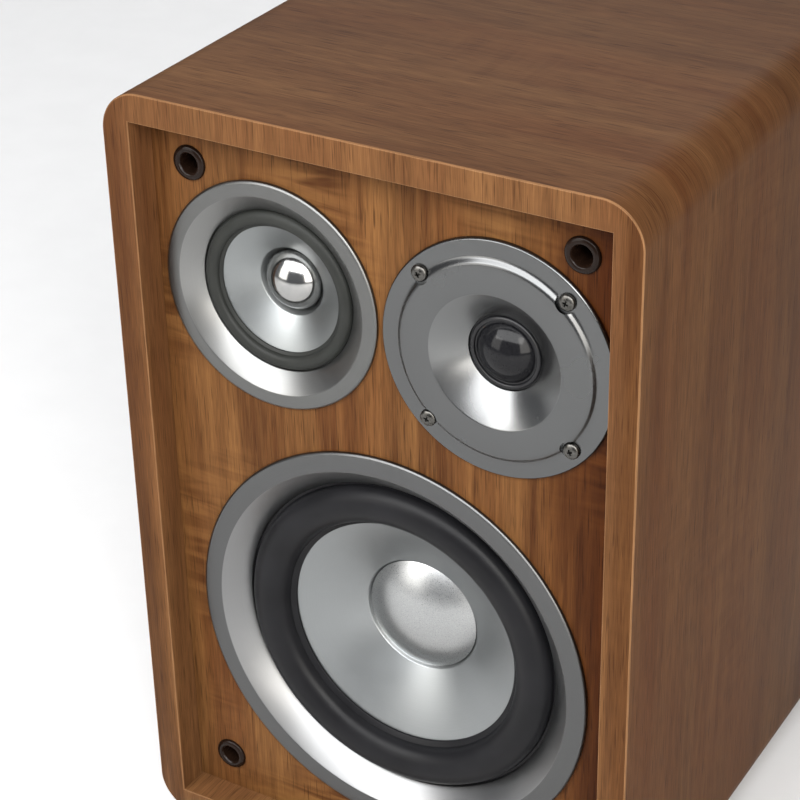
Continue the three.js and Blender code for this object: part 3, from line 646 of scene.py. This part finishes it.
def grained_metal(
    name, dark, light, smooth, rough, grain_depth, grain_size, detail=4, roughness=0.5, strength=0.5,
):
    """Bare or plated metal: one fine grain, `grain_size` to the metre, shifts its colour from dark to
    light, its gloss from smooth to rough, and its surface."""
    material, tree, shader = material_for(name, metallic=1.0)
    place = node(tree, "ShaderNodeTexCoord").outputs["Object"]
    grain = noise(tree, place, grain_size, detail=detail, roughness=roughness)
    coloured(tree, shader, grain, (0.3, dark), (0.7, light))
    tree.links.new(ramp(tree, grain, (0.3, smooth), (0.7, rough)), shader.inputs["Roughness"])
    if grain_depth:
        bumped(tree, shader, grain, grain_depth, strength)
    return material


blasted = grained_metal(
    "blasted_aluminium", (0.29, 0.297, 0.299), (0.41, 0.418, 0.42), 0.26, 0.38, grain_depth=0.00003,
    grain_size=2600, detail=2, roughness=0.7, strength=0.45,
)
show("woofer_blasted_cap", spun(shell(25, 27, 8, 0.8), woofer, 128, closed=False), blasted,
     replaces="woofer_dust_cap")

mirror_chrome = grained_metal(
    "mirror_chrome", (0.29, 0.29, 0.29), (0.36, 0.36, 0.35), 0.10, 0.16, grain_depth=0, grain_size=160,
)
skirt = [(11.7, 17.1), (12.3, 17.1)]
mirror_outline = [*reversed(dome(11.7, 15, 6.6)), *skirt, *dome(12.3, 15, 7.2)]
show("midrange_mirror_cap", spun(mirror_outline, midrange, 128, closed=False), mirror_chrome,
     replaces="midrange_dust_cap")

# ---- Tweeter --------------------------------------------------------------------------------
# A cast faceplate with a raised middle under grey lacquer and a short horn turned bright, over a
# black polymer dome. Four counterbores let the screws' heads into the step of the raised part.
screws = [f"tweeter_screw_{index}" for index in range(1, 5)]


def rod(radius, start, end, centre, segments=48):
    """A plain cylinder along the driver's axis, from one depth to another."""
    shape = bmesh.new()
    turn = Matrix.Rotation(pi / 2, 4, "X")
    middle = centre + Vector((0, (start + end) / 2 * mm, 0))
    bmesh.ops.create_cone(
        shape, cap_ends=True, segments=segments, radius1=radius * mm, radius2=radius * mm,
        depth=(end - start) * mm, matrix=Matrix.Translation(middle) @ turn,
    )
    return shape


def carved(shape, tools, operation="DIFFERENCE"):
    """Cuts the tools from a shape, or joins them to it."""
    subject = bpy.data.objects.new("subject", bpy.data.meshes.new("subject"))
    shape.to_mesh(subject.data)
    bpy.context.collection.objects.link(subject)
    spent = [subject]
    for tool in tools:
        cutter = bpy.data.objects.new("cutter", bpy.data.meshes.new("cutter"))
        tool.to_mesh(cutter.data)
        tool.free()
        bpy.context.collection.objects.link(cutter)
        step = subject.modifiers.new("carve", "BOOLEAN")
        step.operation, step.object, step.solver = operation, cutter, "EXACT"
        spent.append(cutter)
    bpy.context.view_layer.update()
    result = subject.evaluated_get(bpy.context.evaluated_depsgraph_get()).to_mesh()
    shape.clear()
    shape.from_mesh(result)
    for used in spent:
        bpy.data.meshes.remove(used.data)


plate = spun([
    (48.4, -0.1), (48.4, -1.3, 0.25), (47.8, -2, 0.25), (41.2, -2, 0.9), (39.3, -3.9, 0.9), (27.5, -3.9, 0.4),
    (15.2, 4.9, 0.3), (15.2, 5.3), (34, 5.3, 0.3), (34, -0.1),
], tweeter, ring_steps)
counterbore, screw_hole = 4.3, 2.2
carved(plate, [rod(counterbore, -6, -2, centre_of(screw)) for screw in screws])
carved(plate, [rod(screw_hole, -3, 1, centre_of(screw), 24) for screw in screws])
bmesh.ops.remove_doubles(plate, verts=plate.verts, dist=2 * near)
show("tweeter_plate", plate, satin_metal(
    "tweeter_plate_lacquer", (0.106, 0.108, 0.109), 0.26, tweeter, thin_lines, dish=27.4, dish_gain=1.45,
), replaces="tweeter_faceplate", sharp=25)

gloss_polymer, tree, shader = material_for("gloss_polymer", roughness=0.12, Specular_IOR_Level=0.16)
place = node(tree, "ShaderNodeTexCoord").outputs["Object"]
weave = noise(tree, place, 1400, detail=2)
coloured(tree, shader, weave, (0.3, (0.004, 0.004, 0.005)), (0.7, (0.009, 0.009, 0.010)))
bumped(tree, shader, weave, 0.000003, 0.15)
skirt = [(11.7, 5.8), (12.1, 5.8)]
dome_outline = [*reversed(dome(11.7, 5.3, 5.8)), *skirt, *dome(12.1, 5.3, 6.2)]
show("tweeter_gloss_dome", spun(dome_outline, tweeter, 96, closed=False), gloss_polymer,
     replaces="tweeter_dome")

# ---- Tweeter screws -------------------------------------------------------------------------
# Four black-nickel pan-head screws, cross recessed, through the faceplate into the baffle.
head, shank, under_head, crown = 3.4, 1.9, -2.1, -4.2
nickel = grained_metal(
    "black_nickel", (0.055, 0.053, 0.048), (0.115, 0.111, 0.105), 0.22, 0.38, grain_depth=0.00001,
    grain_size=700, roughness=0.6,
)


def cross_recess(centre, turn, size, inwards, taper=(1, 1)):
    """Two crossed bars that cut a screw's recess. Size is their length, depth and width in
    millimetres, inwards is the way into the head along Y, and taper narrows them there."""
    bars = []
    for angle in (turn, turn + pi / 2):
        bar = bmesh.new()
        bmesh.ops.create_cube(bar, size=1, matrix=Matrix.Diagonal((*[side * mm for side in size], 1)))
        deep = [v for v in bar.verts if v.co.y * inwards > 0]
        bmesh.ops.scale(bar, vec=(taper[0], 1, taper[1]), verts=deep)
        bmesh.ops.rotate(bar, cent=(0, 0, 0), matrix=Matrix.Rotation(angle, 3, "Y"), verts=bar.verts)
        bmesh.ops.translate(bar, vec=centre, verts=bar.verts)
        bars.append(bar)
    return bars


for index, name in enumerate(screws):
    at = centre_of(name)
    screw = spun([
        (0, 14), (shank, 12), (shank, under_head), (head, under_head, 0.2), (head, under_head - 0.9, 0.5),
        (head - 1.0, under_head - 1.8, 0.7), (0, crown),
    ], at, 48, closed=False)
    slot_middle = at + Vector((0, (crown + 0.1) * mm, 0))
    carved(screw, cross_recess(slot_middle, 0.35 + 0.8 * index, (3.6, 2.6, 0.9), 1, (0.35, 0.55)))
    show(name.replace("screw", "pan_screw"), screw, nickel, replaces=name, sharp=30)

# ---- Grille sockets -------------------------------------------------------------------------
# Four dark brown nylon sockets pressed into the baffle's corners; the grille's pegs push into
# their fluted bores.
brown_nylon = rubber(
    "brown_nylon", (0.008, 0.004, 0.0025), 0.17, grain_size=1400, grain_depth=0.00001, specular=0.12,
)
flutes, flute_depth, bore_radius = 6, 0.4 * mm, 3.7 * mm
for corner in ("top_left", "top_right", "bottom_left", "bottom_right"):
    at = centre_of(f"grille_socket_{corner}")
    socket = spun([
        (0, 12), (5.1, 12), (5.1, -0.1), (7.25, -0.1, 0.1), (6.9, -1.2, 0.4), (5.6, -1.75, 0.4),
        (4.6, -1.6, 0.3), (3.9, -0.7, 0.3), (3.7, 1), (3.7, 10.5), (0, 10.5),
    ], at, 72, closed=False)
    for vertex in socket.verts:
        out = vertex.co - at
        if mm < hypot(out.x, out.z) < bore_radius + near and 0.5 * mm < out.y < 10.6 * mm:
            pull = 1 - flute_depth / bore_radius * (0.5 + 0.5 * cos(flutes * atan2(out.z, out.x))) ** 2
            vertex.co.x, vertex.co.z = at.x + out.x * pull, at.z + out.z * pull
    show(f"grille_cup_{corner}", socket, brown_nylon, replaces=f"grille_socket_{corner}")

# ---- Back panel -----------------------------------------------------------------------------
# A 12 mm board wrapped in black embossed vinyl, set 3 mm inside the walls' rear rims and held by
# ten black wood screws. The CAD board stays; it gets its vinyl and its screws.
black_vinyl, tree, shader = material_for("black_vinyl", Specular_IOR_Level=0.4)
place = node(tree, "ShaderNodeTexCoord").outputs["Object"]
pebbled = node(tree, "ShaderNodeTexVoronoi", {"Vector": place, "Scale": 1100}, feature="SMOOTH_F1")
pebbles = pebbled.outputs["Distance"]
clouds = noise(tree, place, 25, detail=4)
coloured(tree, shader, clouds, (0.3, (0.014, 0.013, 0.013)), (0.7, (0.023, 0.022, 0.021)))
tree.links.new(ramp(tree, pebbles, (0.1, 0.40), (0.6, 0.62)), shader.inputs["Roughness"])
bumped(tree, shader, pebbles, 0.0001, 0.7)
finish_node("back_panel", black_vinyl)
panel_low, panel_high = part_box("back_panel")
panel_face = panel_high.y
black_zinc = rubber("black_zinc_screw", (0.020, 0.020, 0.021), 0.34, grain_size=3000, grain_depth=0.000006)
screw_inset = 7.5 * mm
rows = [panel_low.z + screw_inset, 0.105, 0.190, 0.275, panel_high.z - screw_inset]
for side, x in (("left", panel_low.x + screw_inset), ("right", panel_high.x - screw_inset)):
    for index, z in enumerate(rows):
        at = Vector((x, panel_face, z))
        screw = spun([
            (0, -8), (1.2, -7), (1.4, -1), (1.6, -0.6), (3.3, 0.02), (3.3, 0.35, 0.1), (2.2, 1.1, 0.5),
            (0, 1.35),
        ], at, 32, closed=False)
        slot_middle = at + Vector((0, 1.3 * mm, 0))
        carved(screw, cross_recess(slot_middle, 0.3 * index, (3.0, 2.2, 0.8), -1, (0.4, 0.5)))
        show(f"back_screw_{side}_{index + 1}", screw, black_zinc, body="root", slot="black_steel", sharp=30)

# ---- Reflex port ----------------------------------------------------------------------------
# A black moulded tube behind the midrange, flared at its mouth and pressed into the back panel.
moulded_black = rubber("moulded_black", (0.017, 0.017, 0.018), 0.42, grain_size=1300, grain_depth=0.000025)
port_low, port_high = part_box("port_tube")
port_centre = Vector(((port_low.x + port_high.x) / 2, panel_face, (port_low.z + port_high.z) / 2))
bore, port_wall, mouth = 25, 2, 36
flare, flare_depth, flare_length = 9, 8.6, 11
outer_flare, outer_depth, outer_length = 5, 10, 10.1
flare_turns = [pi / 2 * i / 16 for i in range(17)]
inner_end = (port_low.y - panel_face) / mm
show("reflex_port", spun([
    (bore, inner_end, 0.5),
    *[(bore + flare * (1 - cos(t)), flare_length * sin(t) - flare_depth) for t in flare_turns],
    (mouth - 0.8, 2.3, 0.3), (mouth, 1.3, 0.5), (mouth, 0.1),
    *[
        (bore + port_wall + outer_flare * (1 - cos(t)), outer_length * sin(t) - outer_depth)
        for t in reversed(flare_turns)
    ],
    (bore + port_wall, inner_end, 0.5),
], port_centre, 96), moulded_black, replaces="port_tube")

# ---- Terminal cup ---------------------------------------------------------------------------
# A moulded cup let into the back, so that the posts don't stick out. Four screws hold its rim.
cup_low, cup_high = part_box("terminal_cup")
cup_centre = Vector(((cup_low.x + cup_high.x) / 2, 0, (cup_low.z + cup_high.z) / 2))
cup_floor = cup_low.y + 2.5 * mm
post_spread = 15 * mm
rim_screws = [Vector((x * mm, 0, z * mm)) for x in (-43.5, 43.5) for z in (-29.5, 29.5)]
rim_screw_recess = 0.7


def prism(width, tall, radius, start, end, segments=8, draft=1.0):
    """A block with round corners along Y from start to end; draft widens its rear end."""
    shape = bmesh.new()
    size = Vector((width * mm, end - start, tall * mm))
    middle = Vector((cup_centre.x, (start + end) / 2, cup_centre.z))
    bmesh.ops.create_cube(shape, size=1, matrix=Matrix.LocRotScale(None, None, size))
    bmesh.ops.bevel(
        shape, geom=[e for e in shape.edges if abs(e.verts[0].co.y - e.verts[1].co.y) > near],
        offset=radius * mm, offset_type="OFFSET", affect="EDGES", segments=segments, profile=0.5, material=-1,
    )
    bmesh.ops.scale(shape, vec=(draft, 1, draft), verts=[v for v in shape.verts if v.co.y > 0])
    bmesh.ops.translate(shape, vec=middle, verts=shape.verts)
    return shape


cup = prism(96, 70, 10, panel_face + 0.1 * mm, cup_high.y, 12)
carved(cup, [prism(79.4, 53.4, 6, cup_low.y, cup_high.y - 0.5 * mm)], "UNION")
tools = [prism(75, 49, 4.5, cup_floor, cup_high.y + mm, 8, 1.014)]
for x in (-post_spread, post_spread):
    tools.append(rod(3.5, cup_low.y / mm - 1, cup_floor / mm + 1, Vector((x, 0, cup_centre.z))))
cup_back = cup_high.y / mm
for offset in rim_screws:
    tools.append(rod(3.6, cup_back - rim_screw_recess, cup_back + 1, cup_centre + offset, 32))
carved(cup, tools)
bmesh.ops.remove_doubles(cup, verts=cup.verts, dist=near)
cup_piece = show("terminal_tray", cup, moulded_black, replaces="terminal_cup", sharp=30)
eased_edges = cup_piece.modifiers.new("eased_edges", "BEVEL")
eased_edges.width, eased_edges.segments, eased_edges.limit_method = 0.5 * mm, 2, "ANGLE"
eased_edges.angle_limit = radians(50)
for index, offset in enumerate(rim_screws):
    at = cup_centre + offset + Vector((0, cup_high.y - rim_screw_recess * mm, 0))
    screw = spun([
        (0, -6), (1.2, -5), (1.3, 0.05), (3.1, 0.05), (3.1, 0.3, 0.1), (2.0, 0.85, 0.4), (0, 0.99),
    ], at, 32, closed=False)
    carved(screw, cross_recess(at + Vector((0, 1.1 * mm, 0)), 0.5 + index, (2.8, 1.6, 0.7), -1))
    show(f"tray_screw_{index + 1}", screw, black_zinc, body="root", slot="black_steel", sharp=30)

# ---- Binding posts --------------------------------------------------------------------------
# Gold-plated brass studs, nutted inside, with a plug bore in the outer end. A grooved cap of red or
# black plastic marks each pole: it screws down and clamps the wire with its washer.
gold = grained_metal(
    "gold_plate", (0.78, 0.53, 0.20), (0.92, 0.66, 0.29), 0.18, 0.30, grain_depth=0.000006, grain_size=900,
)
red_plastic = rubber("red_cap_plastic", (0.36, 0.012, 0.010), 0.30, grain_size=1600, grain_depth=0.00001)
black_plastic = rubber("black_cap_plastic", (0.015, 0.015, 0.016), 0.30, grain_size=1600, grain_depth=0.00001)
stud, thread_start, thread_pitch, thread_depth, thread_turns = 3.2, 3.0, 0.8, 0.28, 17
cap_grooves, groove_depth, cap_radius = 12, 0.6 * mm, 6.8
for pole, plastic in (("red", red_plastic), ("black", black_plastic)):
    post_low, post_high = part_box(f"{pole}_post_stud")
    at = Vector(((post_low.x + post_high.x) / 2, cup_floor, (post_low.z + post_high.z) / 2))
    thread = []
    for turn in range(thread_turns):
        start = thread_start + turn * thread_pitch
        thread += [(stud, start), (stud - thread_depth, start + thread_pitch / 2)]
    show(f"{pole}_stud", spun([
        (0, -12), (stud - 0.4, -12), (stud, -11.6), (stud, -6.5), (5.2, -6.5, 0.3), (5.2, -2.8, 0.3),
        (stud, -2.8), (stud, 0.2), (5.6, 0.2, 0.2), (5.6, 2.3, 0.3), (stud, 2.3), *thread, (stud, 16.7),
        (stud - 0.3, 17), (2.3, 17), (2.05, 16.7), (2.05, 4), (0, 4),
    ], at, 48, closed=False), gold, replaces=f"{pole}_post_stud")
    show(f"{pole}_clamping_washer", spun([
        (3.5, 2.6, 0.15), (6, 2.6, 0.25), (6, 3.9, 0.25), (3.5, 3.9, 0.15),
    ], at, 64), gold, replaces=f"{pole}_post_washer")
    cap = spun([
        (3.5, 4.2, 0.2), (cap_radius, 4.2, 0.4), (cap_radius, 8), (cap_radius, 12), (cap_radius, 16.5),
        (cap_radius, 18.9, 0.9), (4.6, 18.9, 0.3), (4.4, 18.2, 0.3), (3.5, 18.0, 0.2),
    ], at, 144)
    for vertex in cap.verts:
        out = vertex.co - at
        away = hypot(out.x, out.z)
        if away > (cap_radius - 1) * mm:
            scoop = max(0.0, cos(cap_grooves * atan2(out.z, out.x))) ** 2
            pull = 1 - groove_depth * scoop / away
            vertex.co.x, vertex.co.z = at.x + out.x * pull, at.z + out.z * pull
    show(f"{pole}_screw_cap", cap, plastic, replaces=f"{pole}_post_cap")

# ---- Feet -----------------------------------------------------------------------------------
# Four stick-on bumpers of soft black polyurethane under the cabinet's corners.
bumper = rubber("bumper_rubber", (0.018, 0.018, 0.019), 0.6, grain_size=1200, grain_depth=0.00002)
for corner in ("front_left", "front_right", "rear_left", "rear_right"):
    low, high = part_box(f"foot_{corner}")
    foot = bmesh.new()
    foot_radius = (high.x - low.x) / 2
    bmesh.ops.create_cone(
        foot, cap_ends=True, segments=48, radius1=foot_radius - 0.6 * mm, radius2=foot_radius,
        depth=high.z - low.z, matrix=Matrix.Translation((low + high) / 2),
    )
    bmesh.ops.bevel(
        foot, geom=[e for e in foot.edges if all(v.co.z < low.z + near for v in e.verts)],
        offset=0.5 * mm, offset_type="OFFSET", affect="EDGES", segments=3, profile=0.5, material=-1,
    )
    show(f"bumper_{corner}", foot, bumper, replaces=f"foot_{corner}")

# ---- Spiders --------------------------------------------------------------------------------
# Corrugated discs of resin-stiffened cotton that centre the voice coils behind the cones.
spider_cloth, tree, shader = material_for("spider_cloth", roughness=0.8, Sheen_Weight=0.25)
place = node(tree, "ShaderNodeTexCoord").outputs["Object"]
yarn = {"Vector": place, "Scale": 300, "Distortion": 1.5}
threads = node(tree, "ShaderNodeTexWave", yarn, bands_direction="X").outputs["Fac"]
cross_threads = node(tree, "ShaderNodeTexWave", yarn, bands_direction="Z").outputs["Fac"]
cloth = maths(tree, "MAXIMUM", threads, cross_threads)
coloured(tree, shader, cloth, (0.2, (0.30, 0.17, 0.05)), (0.9, (0.52, 0.34, 0.13)))
bumped(tree, shader, cloth, 0.00008, 0.8)


def spider(inner, outer, depth, waves, height, sheet=0.6, flat=2.0, steps=40):
    """The closed outline of a corrugated disc, with a narrow flat ring inside and a wide one outside."""
    reach = outer - inner - 4 * flat
    wave = [
        (inner + flat + reach * i / steps, depth - height * sin(2 * pi * waves / 2 * i / steps))
        for i in range(steps + 1)
    ]
    face = [(inner, depth), *wave, (outer, depth)]
    return [*face, *[(radius, at + sheet) for radius, at in reversed(face)]]


for name, centre, sizes in (
    ("woofer", woofer, (18.5, 43, 45.6, 3, 1.6)),
    ("midrange", midrange, (11.6, 21, 25.2, 2, 1)),
):
    piece = show(
        f"{name}_corrugated_disc", spun(spider(*sizes), centre, 96), spider_cloth,
        replaces=f"{name}_spider", body="flexing",
    )
    flexing(piece, f"{name}_moving_parts", centre, still=sizes[1] - 3, moving=sizes[0] + 1.5)

# ---- Baskets, motors and coils --------------------------------------------------------------
# Inside the cabinet: pressed black baskets, zinc-plated top plates and yokes, ferrite rings
# and copper coils. The CAD solids are already right, so they only get their finishes.
basket_paint = rubber("basket_paint", (0.020, 0.020, 0.021), 0.38, grain_size=1800, grain_depth=0.00002)
ferrite = rubber("ferrite", (0.045, 0.043, 0.045), 0.55, grain_size=600, grain_depth=0.00004)
zinc, tree, shader = material_for("zinc_plate", metallic=1.0)
place = node(tree, "ShaderNodeTexCoord").outputs["Object"]
spangle = node(tree, "ShaderNodeTexVoronoi", {"Vector": place, "Scale": 260}).outputs["Color"]
grey = node(tree, "ShaderNodeRGBToBW", {"Color": spangle}).outputs["Val"]
coloured(tree, shader, grey, (0.2, (0.55, 0.56, 0.56)), (0.8, (0.68, 0.68, 0.66)))
tree.links.new(ramp(tree, grey, (0.2, 0.30), (0.8, 0.46)), shader.inputs["Roughness"])
copper, tree, shader = material_for("copper_winding", metallic=1.0, roughness=0.3)
place = node(tree, "ShaderNodeTexCoord").outputs["Object"]
wire = {"Vector": place, "Scale": 500, "Distortion": 0.4}
turns = node(tree, "ShaderNodeTexWave", wire, bands_direction="Y").outputs["Fac"]
coloured(tree, shader, turns, (0.1, (0.30, 0.10, 0.04)), (0.8, (0.75, 0.33, 0.17)))
bumped(tree, shader, turns, 0.0001, 0.8)
for driver in ("woofer", "midrange", "tweeter"):
    finish_node(f"{driver}_top_plate", zinc)
    finish_node(f"{driver}_yoke", zinc)
    finish_node(f"{driver}_magnet", ferrite)
    finish_node(f"{driver}_voice_coil", copper)
for driver in ("woofer", "midrange"):
    finish_node(f"{driver}_basket", basket_paint)
finish_node("midrange_chamber", moulded_black)

# ---- Crossover ------------------------------------------------------------------------------
# A green circuit board on four pillars, with two air-core coils, two film capacitors and a
# cast ceramic resistor.
board_green, tree, shader = material_for("board_green", roughness=0.35, Coat_Weight=0.4)
place = node(tree, "ShaderNodeTexCoord").outputs["Object"]
glass = node(tree, "ShaderNodeTexChecker", {"Vector": place, "Scale": 900}).outputs["Fac"]
tracks = ramp(tree, noise(tree, place, 70, detail=0), (0.49, 0), (0.51, 1))
green = ramp(tree, glass, (0.0, (0.010, 0.075, 0.030)), (1.0, (0.013, 0.090, 0.036)))
tree.links.new(mixed(tree, tracks, green, (0.022, 0.135, 0.050)), shader.inputs["Base Color"])
bumped(tree, shader, tracks, 0.00004, 0.6)
film_yellow = rubber("film_yellow", (0.62, 0.40, 0.035), 0.32, grain_size=500, grain_depth=0.00001)
cast_ceramic = rubber("cast_ceramic", (0.66, 0.64, 0.58), 0.75, grain_size=900, grain_depth=0.00005)
finish_node("crossover_board", board_green)
for name in ("woofer_coil", "midrange_coil"):
    finish_node(name, copper)
for name in ("woofer_capacitor", "tweeter_capacitor"):
    finish_node(name, film_yellow)
finish_node("midrange_resistor", cast_ceramic)

# ---- Wadding --------------------------------------------------------------------------------
# A pad of white polyester wadding glued under the top wall, which damps the air inside. It is
# fullest in the middle and pulled thin at its edges.
pad_low, pad_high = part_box("wadding_pad")
pad = bmesh.new()
pad_size, pad_middle = pad_high - pad_low, (pad_low + pad_high) / 2
bmesh.ops.create_cube(pad, size=1, matrix=Matrix.LocRotScale(pad_middle, None, pad_size))
bmesh.ops.bevel(
    pad, geom=pad.edges[:], offset=6 * mm, offset_type="OFFSET", affect="EDGES", segments=4,
    profile=0.5, material=-1,
)
long_edges = [e for e in pad.edges if e.calc_length() > 20 * mm]
bmesh.ops.subdivide_edges(pad, edges=long_edges, cuts=16, use_grid_fill=True)
edge_rise, lump_rise = 5 * mm, 2.5 * mm
for vertex in pad.verts:
    across = (vertex.co.x - pad_middle.x) / (pad_size.x / 2)
    along = (vertex.co.y - pad_middle.y) / (pad_size.y / 2)
    full = (1 - across ** 4) * (1 - along ** 4)
    lumps = sin(95 * vertex.co.x + 40 * vertex.co.y) + sin(130 * vertex.co.y - 60 * vertex.co.x)
    if vertex.co.z < pad_middle.z:
        vertex.co.z += (1 - full) * edge_rise + (0.5 + 0.25 * lumps) * lump_rise
wadding, tree, shader = material_for("polyester_wadding", roughness=0.95, Sheen_Weight=0.6)
place = node(tree, "ShaderNodeTexCoord").outputs["Object"]
tufts = noise(tree, place, 240, detail=6, roughness=0.7, distortion=1.5)
coloured(tree, shader, tufts, (0.3, (0.60, 0.60, 0.58)), (0.7, (0.86, 0.86, 0.84)))
bumped(tree, shader, tufts, 0.0012, 0.9)
show("wadding_wad", pad, wadding, replaces="wadding_pad")
